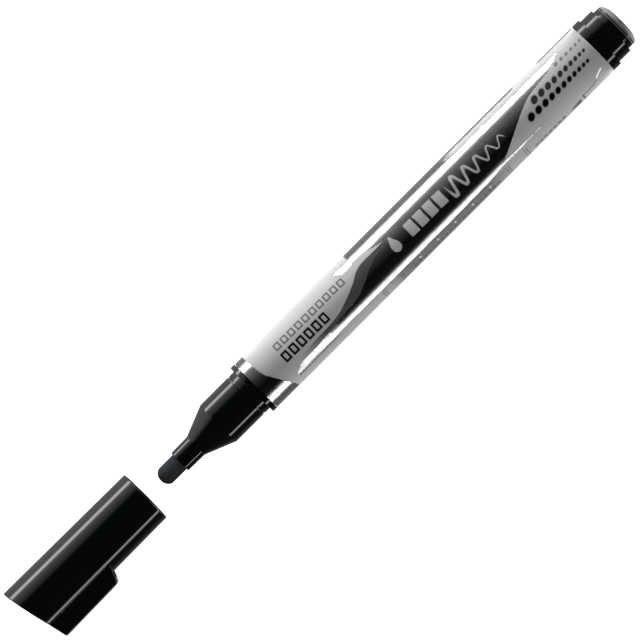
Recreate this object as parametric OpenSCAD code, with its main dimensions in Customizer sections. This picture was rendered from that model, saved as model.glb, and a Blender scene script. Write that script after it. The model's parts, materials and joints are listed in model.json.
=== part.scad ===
// Slim free-ink whiteboard marker, lying on its side with the cap pulled off in front of the nib.
// A station is a distance in millimetres along the marker's axis. Station 0 is the front face of
// the nose flange, and stations grow towards the rear plug. Each sub-part is drawn with the
// marker's axis on X and the clip pointing along +Z. laid_down() then rolls the marker until the
// root of its clip rests on the floor at z = 0, and centres it on the origin.

/* [Barrel] */
// Outer diameter of the barrel and of the flange
barrel_d = 12.5; // [12.2:0.1:13.5]
// Length of the barrel between the flange and the rear plug
barrel_len = 97.8; // [80:0.1:120]
// Wall of the clear tube
barrel_wall = 0.9; // [0.7:0.05:1]
// Thickness of the printed film, which lies flush in a shallow recess
film_t = 0.08; // [0.05:0.01:0.2]
// Bare tube left in front of the film
film_front = 2.2; // [1:0.1:5]
// Bare tube left behind the film
film_rear = 0.5; // [0.3:0.1:3]

/* [Nose] */
// Thickness of the flange that the cap closes against
flange_len = 1.1; // [0.8:0.1:2]
// Diameter of the cylinder that the cap slides over
nose_d = 10.5; // [10:0.1:10.6]
// Length of that cylinder
nose_len = 9.75; // [8:0.05:14]
// Length of the cone in front of it
cone_len = 6.6; // [5:0.1:9]
// Diameter of the nib tube where it leaves the cone
tube_d = 5.2; // [5:0.05:5.4]
// Diameter of the nib tube at its front end
tube_tip_d = 5.05; // [4.9:0.05:5.1]
// Length of the nib tube
tube_len = 4.6; // [4.4:0.1:6]
// Length of the spigot pressed into the barrel
spigot_len = 5.9; // [4:0.1:8]
// Width of the click groove around the cylinder
groove_w = 0.45; // [0.3:0.05:0.8]
// Depth of the click groove
groove_depth = 0.15; // [0.1:0.05:0.3]
// Distance from the flange to the middle of the click groove
groove_back = 1.65; // [1:0.05:3]

/* [Nib and feed] */
// Diameter of the fibre nib
nib_d = 4.15; // [3.8:0.05:4.3]
// Length of nib that stands out of its tube
nib_out = 5.5; // [4:0.1:6]
// Axial length of the nib's rounded end
nib_round = 1.75; // [1.2:0.05:2.5]
// Whole length of the nib
nib_len = 24; // [20:0.5:25]
// Diameter of the fibre wick
wick_d = 2.6; // [2:0.1:3]
// Length of wick that dips into the ink
wick_dip = 9; // [5:0.5:20]
// Number of fins on the collector
fin_count = 11; // [6:1:12]
// Distance from one fin to the next
fin_pitch = 1.1; // [0.9:0.05:1.2]
// Thickness of a fin
fin_t = 0.5; // [0.3:0.05:0.6]
// Thickness of the plug between the collector and the tank
divider_len = 2; // [1.5:0.1:3]

/* [Rear plug] */
// Length of the plug's full-width ring
ring_len = 1.9; // [1.5:0.1:4]
// Diameter of the plug's waist
waist_d = 11.45; // [11:0.05:11.8]
// Length of the waist
waist_len = 3.2; // [2:0.1:6]
// Diameter of the plug's end
button_d = 10.3; // [9.5:0.1:10.8]
// Length of the plug's end in front of the button
neck_len = 1.35; // [1:0.05:3]
// Thickness of the button at its rim
button_len = 0.7; // [0.5:0.05:1.5]
// Height of the button's dome
dome_h = 0.9; // [0.5:0.05:1.5]
// Length of the plug inside the barrel
plug_depth = 5.5; // [4:0.1:10]

/* [Cap] */
// Outer diameter of the cap at its mouth
cap_mouth_d = 12.3; // [12:0.1:12.8]
// Outer diameter of the cap at its closed end
cap_end_d = 12.87; // [12.8:0.01:13.2]
// Length of the cap along its longest side
cap_len = 34.85; // [34:0.05:38]
// Lean of the closed end, shorter on the clip's side
end_slant = 12.4; // [5:0.1:15]
// Diameter of the cap's bore
cap_bore_d = 10.9; // [10.8:0.05:11]
// Thickness of the closed end
cap_end_wall = 1.6; // [1.2:0.1:2]
// How far the cap is pulled off
cap_travel = 30.8; // [28:0.1:36]

/* [Clip] */
// Width of the clip
clip_w = 8.6; // [7:0.1:9]
// Height of the clip's outer face above the axis, at its root
clip_root_h = 8.97; // [8.8:0.01:9.5]
// Height of the clip's outer face above the axis, at its tip
clip_tip_h = 8.6; // [8.5:0.05:8.8]
// Distance from the cap's mouth to the tip of the clip
clip_back = 14.55; // [12:0.05:16]
// Lean of the clip's front face
clip_front_lean = 23; // [0:1:30]
// Thickness of the clip's arm and skirts
clip_t = 1.1; // [0.9:0.05:1.2]
// Length of the clip's root block, which belongs to the cap
root_len = 2.6; // [2:0.1:4]
// Radius along the clip's outer edges
clip_edge_r = 0.5; // [0.3:0.1:0.8]

/* [Hidden] */
$fn = 96;
arc_steps = 8;

// Clearances
slip = 0.03;      // click bead around the nose cylinder, and seal lip around the nib tube
seat_gap = 0.07;  // cap mouth in front of the flange when the cap is on
clip_gap = 0.15;  // clip's skirts above the cap's skin
split = 0.08;     // split between the clip's arm and its root block

// Radii
barrel_r = barrel_d / 2;
bore_r = barrel_r - barrel_wall;
nose_r = nose_d / 2;
nib_r = nib_d / 2;
wick_r = wick_d / 2;
waist_r = waist_d / 2;
button_r = button_d / 2;
cap_mouth_r = cap_mouth_d / 2;
cap_end_r = cap_end_d / 2;
cap_bore_r = cap_bore_d / 2;

// Stations of the nose, nib and feed
cone_back = -nose_len;
cone_front = cone_back - cone_len;
tube_front = cone_front - tube_len;
nib_tip = tube_front - nib_out;
nib_back = nib_tip + nib_len;
nib_socket = 4;              // depth of the hole in the nib's back end that takes the wick
nib_grip = 6.5;              // length of nose tube that grips the nib
nose_wall = 1.2;             // wall of the nose and of its spigot
throat_back = 1;             // how far the cone's inside starts behind its outside
spigot_end = flange_len + spigot_len;
collector_boss = 1.5;        // length of the collector's boss inside the spigot
collector_core_r = wick_r + 0.7;
collector_slack = 0.15;      // gap between the fins and the barrel
slit_w = 0.6;                // width of the collector's air slit
slit_floor = wick_r + 0.3;
collector_end = spigot_end + fin_count * fin_pitch + fin_t;
divider_end = collector_end + divider_len;
wick_end = divider_end + wick_dip;

// Stations of the barrel and the rear plug
barrel_end = flange_len + barrel_len;
film_start = flange_len + film_front;
film_end = barrel_end - film_rear;
plug_front = barrel_end - plug_depth;
ring_end = barrel_end + ring_len;
ring_relief = 0.03;          // how far the ring stands below the barrel
waist_end = ring_end + waist_len;
waist_chamfer = 0.4;
neck_end = waist_end + neck_len;
button_rim = neck_end + button_len;
button_end = button_rim + dome_h;
button_edge_r = 0.5;         // rounding of the button's rim
rim_arc_end = 20;            // angle at which the rim's arc meets the dome
stem_r = 3;                  // button's stem in the plug
stem_len = 3;
plug_wall = 1.3;
plug_web = 1.2;              // wall between the tank and the stem's socket
plug_bevel = 1;              // bevel at the bottom of the plug's hollow

// Stations of the cap
cap_mouth = -(cap_travel + seat_gap);
cap_far = cap_mouth - cap_len;
end_on_axis = cap_far + cap_end_r * tan(end_slant);
mouth_chamfer = 0.3;
bead_r = nose_r + slip;
bead_w = 0.35;
bead_at = cap_mouth + seat_gap - groove_back;

// Stations of the seal liner, from where it stands on the nose when the cap is on
lip_to_cone = 1.2;           // between the liner's lip and the nose cone
nib_room = 1;                // between the nib and the liner's closed end
liner_web = 0.9;             // thickness of the liner's closed end
liner_skirt = 2.4;           // length of the liner behind its closed end
liner_wall = 0.8;
liner_lead = 0.3;            // bevel outside the lip
lip_len = 0.8;
lip_relief = 0.08;           // how much wider the liner is behind its lip
socket_len = 6;              // length of the cap's socket around the liner
liner_lip = cone_front - cap_travel - lip_to_cone;
liner_floor = nib_tip - cap_travel - nib_room;
liner_back = liner_floor - liner_web - liner_skirt;
lip_r = tube_d / 2 + slip;
liner_bore_r = lip_r + lip_relief;
liner_r = liner_bore_r + liner_wall;
socket_r = liner_r + liner_wall;

// Clip
clip_tip = cap_mouth - clip_back;
clip_foot_h = 4.2;           // height at which the clip's blocks start, under the cap's skin
clip_slope = atan((clip_root_h - clip_tip_h) / (clip_tip - cap_far));
root_front = cap_far + (clip_root_h + cap_end_r) * tan(end_slant) + root_len;
grip_r = 0.9;                // rib under the clip's tip that holds the cloth
grip_back = 3.2;             // distance of that rib from the tip
clip_reach = 30;             // more than the cap's width, for cutting tools

// Rest pose: the cap's closed end and the corner of the clip's root touch the floor
axis_h = cap_end_r;
corner_h = clip_root_h - clip_edge_r;
corner_w = clip_w / 2 - clip_edge_r;
corner_reach = norm([corner_h, corner_w]);
clip_roll = asin((axis_h - clip_edge_r) / corner_reach) - atan(corner_w / corner_h);
side_reach = corner_h * cos(clip_roll) + corner_w * sin(clip_roll) + clip_edge_r;
middle = (cap_far + button_end) / 2;

// Points of an arc around a centre
function arc(x, y, r, from, to) = [
    for (i = [0:arc_steps])
        let (a = from + (to - from) * i / arc_steps)
            [x + r * cos(a), y + r * sin(a)]
];

module laid_down() {
    translate([-middle, (side_reach - cap_end_r) / 2, axis_h])
        rotate([90 + clip_roll, 0, 0])
            children();
}

// Turns an outline of [station, radius] points about the marker's axis
module turned(outline) {
    rotate([0, 90, 0])
        rotate_extrude()
            polygon([for (p = outline) [p[1], p[0]]]);
}

// Everything beyond the cap's slanted end, moved inwards by a distance
module beyond_end(inwards = 0) {
    translate([end_on_axis + inwards, 0, 0])
        rotate([0, end_slant, 0])
            translate([-clip_reach, -clip_reach / 2, -clip_reach / 2])
                cube(clip_reach);
}

module barrel_tube() {
    color("gainsboro", 0.4)
        laid_down()
            turned([
                [flange_len, bore_r], [flange_len, barrel_r],
                [film_start, barrel_r], [film_start, barrel_r - film_t],
                [film_end, barrel_r - film_t], [film_end, barrel_r],
                [barrel_end, barrel_r], [barrel_end, bore_r]
            ]);
}

module label_film() {
    color("silver")
        laid_down()
            turned([
                [film_start, barrel_r - film_t], [film_start, barrel_r],
                [film_end, barrel_r], [film_end, barrel_r - film_t]
            ]);
}

module ink_charge() {
    color("black")
        laid_down()
            turned([
                [divider_end, wick_r], [divider_end, bore_r],
                [plug_front, bore_r], [plug_front, 0], [wick_end, 0], [wick_end, wick_r]
            ]);
}

module tank_divider() {
    color("dimgray")
        laid_down()
            turned([
                [collector_end, wick_r], [collector_end, bore_r],
                [divider_end, bore_r], [divider_end, wick_r]
            ]);
}

module ink_collector() {
    front = spigot_end - collector_boss;
    boss_r = bore_r - nose_wall;
    fins = [
        for (i = [1:fin_count])
            let (s = spigot_end + i * fin_pitch, r = bore_r - collector_slack)
                each [[s, collector_core_r], [s, r], [s + fin_t, r], [s + fin_t, collector_core_r]]
    ];
    color("lightslategray")
        laid_down()
            difference() {
                turned(concat(
                    [[front, wick_r], [front, boss_r]],
                    [[spigot_end, boss_r], [spigot_end, collector_core_r]],
                    fins,
                    [[collector_end, wick_r]]
                ));
                translate([spigot_end, -slit_w / 2, slit_floor])
                    cube([collector_end, slit_w, bore_r]);
            }
}

module feed_wick() {
    color("whitesmoke")
        laid_down()
            turned([
                [nib_back - nib_socket, 0], [nib_back - nib_socket, wick_r],
                [wick_end, wick_r], [wick_end, 0]
            ]);
}

module nib() {
    rounded_end = [
        for (a = [0:9:90])
            [nib_tip + nib_round * (1 - cos(a)), nib_r * sin(a)]
    ];
    color("darkslategray")
        laid_down()
            turned(concat(rounded_end, [
                [nib_back, nib_r], [nib_back, wick_r],
                [nib_back - nib_socket, wick_r], [nib_back - nib_socket, 0]
            ]));
}

module nose_section() {
    inner_r = nose_r - nose_wall;
    color("black")
        laid_down()
            turned([
                [tube_front, nib_r], [tube_front, tube_tip_d / 2], [cone_front, tube_d / 2],
                [cone_back, nose_r],
                [-groove_back - groove_w / 2, nose_r],
                [-groove_back - groove_w / 2, nose_r - groove_depth],
                [-groove_back + groove_w / 2, nose_r - groove_depth],
                [-groove_back + groove_w / 2, nose_r],
                [0, nose_r], [0, barrel_r], [flange_len, barrel_r],
                [flange_len, bore_r], [spigot_end, bore_r],
                [spigot_end, bore_r - nose_wall], [0, inner_r], [cone_back + throat_back, inner_r],
                [tube_front + nib_grip, nib_r]
            ]);
}

module rear_plug() {
    hollow_r = bore_r - plug_wall;
    socket_front = neck_end - stem_len;
    color("black")
        laid_down()
            turned([
                [socket_front - plug_web, 0], [socket_front - plug_web, hollow_r - plug_bevel],
                [socket_front - plug_web - plug_bevel, hollow_r], [plug_front, hollow_r],
                [plug_front, bore_r], [barrel_end, bore_r],
                [barrel_end, barrel_r - ring_relief], [ring_end, barrel_r - ring_relief],
                [ring_end, waist_r], [waist_end - waist_chamfer, waist_r],
                [waist_end, waist_r - waist_chamfer], [waist_end, button_r],
                [neck_end, button_r], [neck_end, stem_r], [socket_front, stem_r], [socket_front, 0]
            ]);
}

module end_button() {
    dome = [
        for (i = [1:arc_steps])
            let (r = (button_r - button_edge_r) * (1 - i / arc_steps))
                [button_end - (dome_h - button_edge_r) * pow(r / button_r, 2), r]
    ];
    color("black")
        laid_down()
            turned(concat(
                [[neck_end - stem_len, 0], [neck_end - stem_len, stem_r], [neck_end, stem_r]],
                [[neck_end, button_r]],
                arc(button_rim, button_r - button_edge_r, button_edge_r, 90, rim_arc_end),
                dome
            ));
}

// Block with the clip's rounded outer edges, between the cap's end and a station
module clip_block(front) {
    section = concat(
        [[-clip_w / 2, clip_foot_h]],
        arc(-corner_w, corner_h, clip_edge_r, 180, 90),
        arc(corner_w, corner_h, clip_edge_r, 90, 0),
        [[clip_w / 2, clip_foot_h]]
    );
    difference() {
        translate([root_front, 0, 0])
            rotate([0, clip_slope, 0])
                translate([-clip_reach, 0, 0])
                    rotate([90, 0, 90])
                        linear_extrude(2 * clip_reach)
                            polygon(section);
        beyond_end();
        translate([front, -clip_reach / 2, clip_foot_h])
            rotate([0, -clip_front_lean, 0])
                translate([0, 0, -clip_reach / 2])
                    cube(clip_reach);
    }
}

module cap_shell() {
    bore = concat(
        [[cap_mouth + clip_reach, 0], [cap_mouth + clip_reach, cap_bore_r + mouth_chamfer]],
        [[cap_mouth, cap_bore_r + mouth_chamfer], [cap_mouth - mouth_chamfer, cap_bore_r]],
        [[bead_at + bead_w, cap_bore_r], [bead_at + bead_w / 2, bead_r]],
        [[bead_at - bead_w / 2, bead_r], [bead_at - bead_w, cap_bore_r]],
        [[cap_far, cap_bore_r], [cap_far, 0]]
    );
    color("black")
        laid_down() {
            difference() {
                union() {
                    turned([
                        [cap_mouth, 0], [cap_mouth, cap_mouth_r],
                        [cap_far, cap_end_r], [cap_far, 0]
                    ]);
                    intersection() {
                        clip_block(root_front + clip_reach);
                        translate([cap_far, -clip_w, 0])
                            cube([root_front - cap_far, 2 * clip_w, clip_reach]);
                    }
                }
                beyond_end();
                difference() {
                    turned(bore);
                    beyond_end(cap_end_wall);
                }
            }
            difference() {
                turned([
                    [liner_back + socket_len, liner_r], [liner_back + socket_len, socket_r],
                    [cap_far, socket_r], [cap_far, liner_r]
                ]);
                beyond_end(cap_end_wall / 2);
            }
        }
}

module cap_seal_liner() {
    color("white")
        laid_down()
            turned([
                [liner_lip, lip_r], [liner_lip, liner_r - liner_lead],
                [liner_lip - liner_lead, liner_r],
                [liner_back, liner_r], [liner_back, liner_bore_r],
                [liner_floor - liner_web, liner_bore_r], [liner_floor - liner_web, 0],
                [liner_floor, 0], [liner_floor, liner_bore_r],
                [liner_lip - 2 * lip_len, liner_bore_r], [liner_lip - lip_len, lip_r]
            ]);
}

module pocket_clip() {
    color("black")
        laid_down()
            difference() {
                union() {
                    difference() {
                        clip_block(clip_tip);
                        translate([root_front, 0, 0])
                            rotate([0, clip_slope, 0])
                                translate([-clip_reach, clip_t - clip_w / 2, 0])
                                    cube([2 * clip_reach, clip_w - 2 * clip_t, clip_root_h - clip_t]);
                    }
                    translate([clip_tip - grip_back, clip_w / 2 - clip_t, clip_tip_h - clip_t])
                        rotate([90, 0, 0])
                            cylinder(r = grip_r, h = clip_w - 2 * clip_t);
                }
                turned([
                    [cap_mouth, 0], [cap_mouth, cap_mouth_r + clip_gap],
                    [cap_far, cap_end_r + clip_gap], [cap_far, 0]
                ]);
                translate([cap_far, -clip_w, 0])
                    cube([root_front + split - cap_far, 2 * clip_w, clip_reach]);
            }
}

barrel_tube();
label_film();
ink_charge();
tank_divider();
ink_collector();
feed_wick();
nib();
nose_section();
rear_plug();
end_button();
cap_shell();
cap_seal_liner();
pocket_clip();
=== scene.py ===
"""Looks of the slim whiteboard marker: meshes, materials, floor, lights and camera around its CAD frame.

Sizes are in millimetres, apart from those of the camera and the lights. A station is a distance along the
marker's axis from the front face of the nose flange, growing towards the rear plug. An angle around the
axis starts at the middle of the label's front and grows towards the clip.
"""
import json
import math

import bmesh
import bpy
from mathutils import Matrix, Vector


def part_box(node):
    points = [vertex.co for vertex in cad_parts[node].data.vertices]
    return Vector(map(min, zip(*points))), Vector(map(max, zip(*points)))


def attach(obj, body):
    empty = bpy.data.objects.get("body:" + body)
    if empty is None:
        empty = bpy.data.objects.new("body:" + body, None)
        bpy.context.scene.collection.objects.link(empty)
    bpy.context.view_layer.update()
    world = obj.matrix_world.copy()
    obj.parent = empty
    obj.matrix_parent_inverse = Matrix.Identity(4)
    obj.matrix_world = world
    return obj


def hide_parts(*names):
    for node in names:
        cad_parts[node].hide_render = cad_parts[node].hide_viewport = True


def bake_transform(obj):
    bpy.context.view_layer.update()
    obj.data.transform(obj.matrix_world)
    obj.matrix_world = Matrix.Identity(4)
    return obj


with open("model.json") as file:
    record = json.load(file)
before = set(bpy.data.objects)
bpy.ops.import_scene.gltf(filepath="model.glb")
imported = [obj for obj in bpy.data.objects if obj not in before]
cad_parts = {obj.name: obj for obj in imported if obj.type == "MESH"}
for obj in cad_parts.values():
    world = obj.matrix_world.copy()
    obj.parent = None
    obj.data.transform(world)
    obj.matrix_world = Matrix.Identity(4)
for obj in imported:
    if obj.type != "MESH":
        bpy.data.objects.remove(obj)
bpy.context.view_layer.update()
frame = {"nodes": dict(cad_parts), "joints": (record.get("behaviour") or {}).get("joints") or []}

MM = 0.001
SEGMENTS = 160               # around the axis

# -------------------- places taken from the frame
barrel_low, barrel_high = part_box("barrel_tube")
BARREL_R = (barrel_high[2] - barrel_low[2]) / 2 / MM
FLANGE_LEN = 1.1
AXIS_START = Vector((
    barrel_low[0] - FLANGE_LEN * MM,
    (barrel_low[1] + barrel_high[1]) / 2,
    (barrel_low[2] + barrel_high[2]) / 2,
))
clip_joint = next(j for j in frame["joints"] if j["name"] == "clip_flex")
ALONG = Vector((1, 0, 0))
FACE = -Vector(clip_joint["axis"])       # out of the middle of the label's front
CLIPWARD = ALONG.cross(FACE)             # from the axis towards the clip


def front_end(node):
    """Lowest station of a CAD node."""
    return (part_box(node)[0][0] - AXIS_START.x) / MM


def back_end(node):
    """Highest station of a CAD node."""
    return (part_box(node)[1][0] - AXIS_START.x) / MM


def radius(node):
    """Largest radius of a CAD node that is round about the axis."""
    low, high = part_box(node)
    return (high[2] - low[2]) / 2 / MM


def place(station, face, clipward):
    """Point of the shared frame, in metres, from a station and two distances from the axis."""
    return AXIS_START + (ALONG * station + FACE * face + CLIPWARD * clipward) * MM


# -------------------- sizes of the pieces
WALL = 0.9
BORE_R = BARREL_R - WALL
CONTACT = 0.02               # overlap of a clear part and what is moulded or filled against it
FILM_T = 0.04                # film and the hair of air under it; less than in CAD, to hide its edges
PLUG_LAP = 0.2               # the plug's ring reaches this far over the barrel's end
PLUG_SEAT = back_end("barrel_tube") - PLUG_LAP
NOSE_R = 5.25
NOSE_WALL = 1.2
NOSE_LEN = 9.75
CONE_LEN = 6.6
TUBE_BACK_R = 2.6
TUBE_TIP_R = 2.525
GROOVE_AT = -1.65
GROOVE_W = 0.45
GROOVE_DEPTH = 0.15
SPIGOT_REACH = 0.8           # the visual spigot is longer than the CAD's, so that it backs the clear front
PLUG_RING_LEN = 2.02
PLUG_WAIST_LEN = 3.24
PLUG_WAIST_R = 5.725
PIN_R = 3.0                  # pin of the button, in its socket in the plug
PIN_PLAY = 0.02              # all around the pin, and on both sides of the button's parting line
BUTTON_R = 5.15
CAP_MOUTH_R = 6.15
CAP_END_R = 6.43
CAP_BORE_R = 5.45
CAP_BEAD_R = 5.28            # click bead in the cap's bore
CAP_STOP = 0.07              # gap between the cap's mouth and the flange when the cap is on
CAP_END_WALL = 1.6
END_SLANT = math.tan(math.radians(12.4))
CLIP_HALF = 4.3
CLIP_T = 1.1
CLIP_EDGE = 0.5
CLIP_GAP = 0.15
CLIP_ROOT_H = 8.97
CLIP_TIP_H = 8.6
CLIP_FOOT_H = 4.2
CLIP_BACK = 14.55
CLIP_LEAN = math.tan(math.radians(23))
ROOT_LEN = 2.6


# -------------------- mesh helpers
def fillet(before, corner, after, size, steps):
    """Points of the arc that rounds one corner of an outline."""
    corner = Vector(corner)
    back = (Vector(before) - corner).normalized()
    ahead = (Vector(after) - corner).normalized()
    half = back.angle(ahead) / 2
    centre = corner + (back + ahead).normalized() * size / math.sin(half)
    start = corner + back * size / math.tan(half) - centre
    end = corner + ahead * size / math.tan(half) - centre
    return [centre + start.lerp(end, i / steps).normalized() * size for i in range(steps + 1)]


def rounded(outline, steps=4):
    """Closed outline in which each point with a third value is rounded to that radius."""
    count = len(outline)
    points = []
    for i, point in enumerate(outline):
        if len(point) < 3:
            points.append(Vector(point))
            continue
        before = outline[i - 1][:2]
        after = outline[(i + 1) % count][:2]
        points += fillet(before, point[:2], after, point[2], steps)
    return points


def held(points, hold=0.06):
    """Closed outline with an extra point near each end of its long straights, to keep the shading crisp."""
    result = []
    for i, point in enumerate(points):
        following = points[(i + 1) % len(points)]
        run = following - point
        on_axis = point[1] < hold and following[1] < hold
        result.append(point)
        if run.length > 6 * hold and not on_axis:
            step = run.normalized() * hold
            result += [point + step, following - step]
    return result


def finish_mesh(name, build, smooth_to=35):
    """Mesh data from a bmesh, with its faces turned outwards and shaded smooth up to an angle."""
    bmesh.ops.recalc_face_normals(build, faces=build.faces)
    mesh = bpy.data.meshes.new(name)
    build.to_mesh(mesh)
    build.free()
    mesh.shade_smooth()
    mesh.set_sharp_from_angle(angle=math.radians(smooth_to))
    return mesh


def revolve(name, rings):
    """Closed mesh of rings about the axis, each a function from the clipward part of a direction to its
    (station, radius). A ring whose radius is 0 is a single point. The UV map holds the station and the arc
    at the barrel's radius."""
    build = bmesh.new()
    uv = build.loops.layers.uv.new("around")
    angles = [2 * math.pi * (i / SEGMENTS - 0.5) for i in range(SEGMENTS)]
    made = []
    for ring in rings:
        if ring(0)[1] < 1e-6:
            made.append([build.verts.new(place(ring(0)[0], 0, 0))] * SEGMENTS)
            continue
        row = []
        for angle in angles:
            station, r = ring(math.sin(angle))
            row.append(build.verts.new(place(station, r * math.cos(angle), r * math.sin(angle))))
        made.append(row)
    for j, row in enumerate(made):
        ahead = made[(j + 1) % len(made)]
        for i in range(SEGMENTS):
            k = (i + 1) % SEGMENTS
            corners = list(dict.fromkeys([row[i], row[k], ahead[k], ahead[i]]))
            if len(corners) < 3:
                continue
            face = build.faces.new(corners)
            for loop in face.loops:
                offset = (loop.vert.co - AXIS_START) / MM
                angle = angles[i] if loop.vert in (row[i], ahead[i]) else angles[i] + 2 * math.pi / SEGMENTS
                loop[uv].uv = (offset.x, angle * BARREL_R)
    return finish_mesh(name, build)


def turned(name, outline):
    """Closed mesh of an outline turned about the axis."""
    return revolve(name, [lambda _, p=p: (p[0], p[1]) for p in held(rounded(outline))])


def add_object(name, data):
    """New object in the scene."""
    obj = bpy.data.objects.new(name, data)
    bpy.context.scene.collection.objects.link(obj)
    return obj


def piece(name, mesh, material, body=None, stands_for=()):
    """Object for one finished mesh, riding on a body when one is given."""
    obj = add_object(name, mesh)
    mesh.materials.append(material)
    if stands_for:
        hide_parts(*stands_for)
    if body:
        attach(obj, body)
    return obj


# -------------------- node helpers
class Nodes:
    """Short calls that add nodes to one tree and link them."""

    def __init__(self, tree):
        self.tree = tree

    def feed(self, node, values):
        """Links or sets inputs of a node."""
        for key, value in values.items():
            if isinstance(value, bpy.types.NodeSocket):
                self.tree.links.new(value, node.inputs[key])
            else:
                node.inputs[key].default_value = value

    def add(self, kind, values=None, **settings):
        """New node with input values or links, and with settings."""
        node = self.tree.nodes.new("ShaderNode" + kind)
        for key, value in settings.items():
            setattr(node, key, value)
        self.feed(node, values or {})
        return node

    def math(self, operation, *values, clamp=False):
        """Result of one calculation."""
        node = self.add("Math", dict(enumerate(values)), operation=operation, use_clamp=clamp)
        return node.outputs[0]

    def most(self, *values):
        """Largest of several values."""
        result = values[0]
        for value in values[1:]:
            result = self.math("MAXIMUM", result, value)
        return result

    def both(self, *values):
        """Product of several masks."""
        result = values[0]
        for value in values[1:]:
            result = self.math("MULTIPLY", result, value)
        return result

    def without(self, mask, *others):
        """A mask where none of the others is."""
        return self.both(mask, *[self.math("SUBTRACT", 1.0, other) for other in others])

    def above(self, value, edge, soft=0.04):
        """1 where a value is past an edge, 0 before it."""
        difference = self.math("SUBTRACT", value, edge)
        return self.math("MULTIPLY_ADD", difference, 1 / soft, 0.5, clamp=True)

    def between(self, value, low, high, soft=0.04):
        """1 where a value lies between two edges."""
        return self.both(self.above(value, low, soft), self.above(high, value, soft))

    def disc(self, x, y, centre, size, soft):
        """1 inside a disc of this radius."""
        across = self.math("SUBTRACT", x, centre[0])
        up = self.math("SUBTRACT", y, centre[1])
        squares = self.math("MULTIPLY_ADD", up, up, self.math("MULTIPLY", across, across))
        return self.above(size, self.math("SQRT", squares), soft)

    def curve(self, value, points, straight=False):
        """Float curve through given points."""
        x0, x1 = points[0][0], points[-1][0]
        low = min(y for _, y in points)
        span = max(y for _, y in points) - low
        node = self.add("FloatCurve")
        node.mapping.use_clip = False
        line = node.mapping.curves[0]
        while len(line.points) < len(points):
            line.points.new(0.5, 0.5)
        for spot, (x, y) in zip(line.points, points):
            spot.location = ((x - x0) / (x1 - x0), (y - low) / span)
            spot.handle_type = "VECTOR" if straight else "AUTO"
        node.mapping.update()
        self.feed(node, {"Value": self.math("MULTIPLY_ADD", value, 1 / (x1 - x0), -x0 / (x1 - x0))})
        return self.math("MULTIPLY_ADD", node.outputs[0], span, low)

    def noise(self, position, scale, detail=2.0, stretch=(1, 1, 1)):
        """Noise value around 0.5 at a position in millimetres."""
        mapping = self.add("Mapping", {"Vector": position, "Scale": stretch})
        values = {"Vector": mapping.outputs[0], "Scale": scale, "Detail": detail}
        return self.add("TexNoise", values).outputs["Fac"]

    def spread(self, value, low, high):
        """A 0 to 1 value spread over another range."""
        return self.math("MULTIPLY_ADD", value, high - low, low)

    def mix(self, factor, first, second):
        """Mix of two colours."""
        node = self.add("Mix", {0: factor, 6: first, 7: second}, data_type="RGBA")
        return node.outputs[2]

    def grey(self, value):
        """Colour from one value."""
        return self.add("CombineColor", {0: value, 1: value, 2: value}).outputs[0]

    def emboss(self, shader, relief, height):
        """Gives a shader a relief of this height in millimetres."""
        bump = self.add("Bump", {"Height": relief, "Strength": 1.0, "Distance": height * MM})
        self.feed(shader, {"Normal": bump.outputs[0]})


def blank_material(name):
    """A material with an empty tree, and the helper for its tree."""
    material = bpy.data.materials.new(name)
    material.use_nodes = True
    material.node_tree.nodes.clear()
    return material, Nodes(material.node_tree)


def new_material(name):
    """A material with one Principled shader, and the helper for its tree."""
    material, nodes = blank_material(name)
    shader = nodes.add("BsdfPrincipled")
    nodes.add("OutputMaterial", {"Surface": shader.outputs[0]})
    return material, nodes, shader


def object_mm(nodes):
    """Object coordinates in millimetres."""
    coordinates = nodes.add("TexCoord").outputs["Object"]
    return nodes.add("VectorMath", {0: coordinates, "Scale": 1 / MM}, operation="SCALE").outputs[0]


def surface(name, color, second, roughness, grain, bump, stretch=(1, 1, 1)):
    """Moulded or fibrous surface: two close colours, a roughness range and a fine bump.

    grain is the size in millimetres of the fine structure, and bump its height in millimetres."""
    material, nodes, shader = new_material(name)
    position = object_mm(nodes)
    coarse = nodes.noise(position, 0.35 / grain, 3.0, stretch)
    fine = nodes.noise(position, 1 / grain, 4.0, stretch)
    nodes.feed(shader, {
        "Base Color": nodes.mix(coarse, (*color, 1), (*second, 1)),
        "Roughness": nodes.spread(fine, *roughness),
        "IOR": 1.5,
    })
    nodes.emboss(shader, fine, bump)
    return material


# -------------------- materials
def black_plastic(name):
    """Glossy black moulding, with a faint orange peel."""
    return surface(name, (0.0, 0.0002, 0.0003), (0.0001, 0.0003, 0.0004), (0.02, 0.05), 0.9, 0.0003)


def clear_plastic():
    """Clear moulding of the barrel."""
    material, nodes, shader = new_material("clear_plastic")
    position = object_mm(nodes)
    ripple = nodes.noise(position, 0.25, 2.0, (0.1, 1, 1))
    nodes.feed(shader, {
        "Base Color": nodes.mix(ripple, (0.97, 0.98, 0.98, 1), (0.99, 0.99, 0.99, 1)),
        "Roughness": nodes.spread(ripple, 0.0, 0.02),
        "Transmission Weight": 1.0,
        "IOR": 1.58,
    })
    nodes.emboss(shader, ripple, 0.0002)
    return material


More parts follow.
